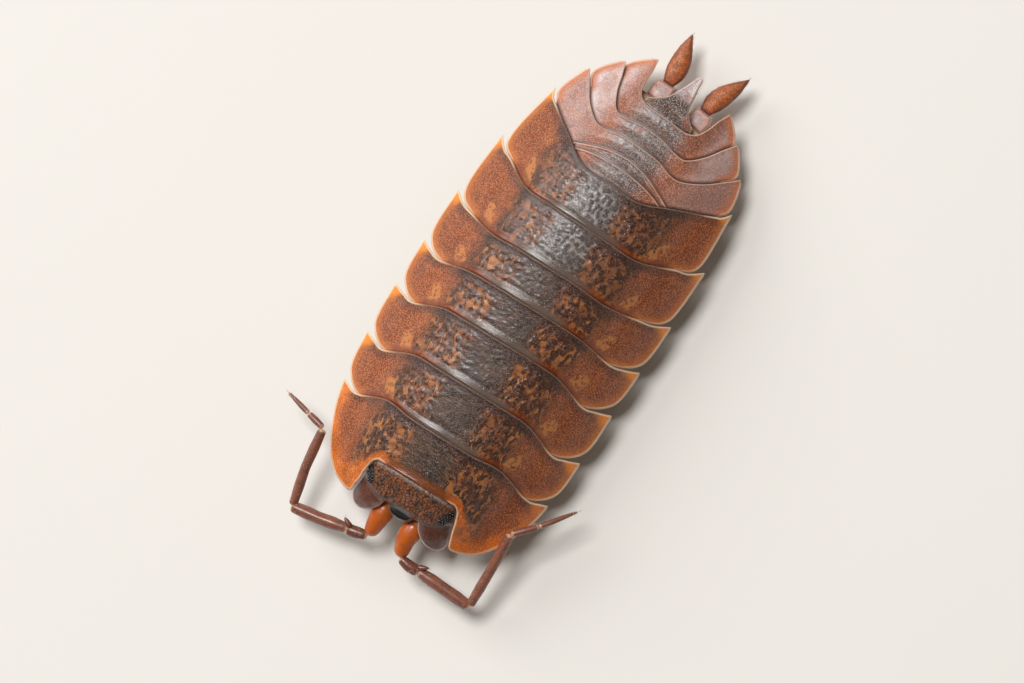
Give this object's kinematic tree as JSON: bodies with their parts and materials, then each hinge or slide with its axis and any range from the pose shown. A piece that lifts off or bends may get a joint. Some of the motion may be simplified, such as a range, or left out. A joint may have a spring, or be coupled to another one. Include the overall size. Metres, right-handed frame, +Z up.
{
  "type": "woodlouse",
  "caption": "Life-size still model of a rough woodlouse: overlapping shell plates, head with beaded eyes, elbowed antennae, legs folded under the body and forked tail",
  "frame": {"origin": "on the floor, under the centre of the bounding box", "axes": "+Y runs along the body from head to tail, +Z is up and +X is the animal's left side"},
  "size_m": [0.0098, 0.0196, 0.0039],
  "materials": {
    "back_shell": "satin, granular, orange-brown with a dark middle band and tan spots",
    "tail_shell": "satin, granular, grey-brown with a lilac sheen and pale rims",
    "head_shell": "satin, finely reticulated dark brown",
    "eye": "glossy black beads",
    "antenna": "satin purple-brown with pale joints",
    "antenna_base": "satin translucent orange",
    "exopod": "satin rust brown",
    "limb": "satin pale horn"
  },
  "bodies": {
    "root": {"head": "head_shell", "eye_left": "eye", "eye_right": "eye", "pereonite_1": "back_shell", "pereonite_2": "back_shell", "pereonite_3": "back_shell", "pereonite_4": "back_shell", "pereonite_5": "back_shell", "pereonite_6": "back_shell", "pereonite_7": "back_shell", "pleonite_1": "tail_shell", "pleonite_2": "tail_shell", "pleonite_3": "tail_shell", "pleonite_4": "tail_shell", "pleonite_5": "tail_shell", "telson": "tail_shell", "uropod_left_protopod": "tail_shell", "uropod_right_protopod": "tail_shell", "uropod_left_exopod": "exopod", "uropod_left_endopod": "exopod", "leg_left_1": "limb", "leg_left_2": "limb", "leg_left_3": "limb", "leg_left_4": "limb", "leg_left_5": "limb", "leg_left_6": "limb", "leg_left_7": "limb", "antenna_left_base": "antenna_base", "antenna_left_article_4": "antenna", "antenna_left_article_5": "antenna", "antenna_left_flagellum": "antenna", "pleopods_left": "limb", "uropod_right_exopod": "exopod", "uropod_right_endopod": "exopod", "leg_right_1": "limb", "leg_right_2": "limb", "leg_right_3": "limb", "leg_right_4": "limb", "leg_right_5": "limb", "leg_right_6": "limb", "leg_right_7": "limb", "antenna_right_base": "antenna_base", "antenna_right_article_4": "antenna", "antenna_right_article_5": "antenna", "antenna_right_flagellum": "antenna", "pleopods_right": "limb", "mouthparts": "limb"}
  },
  "joints": []
}
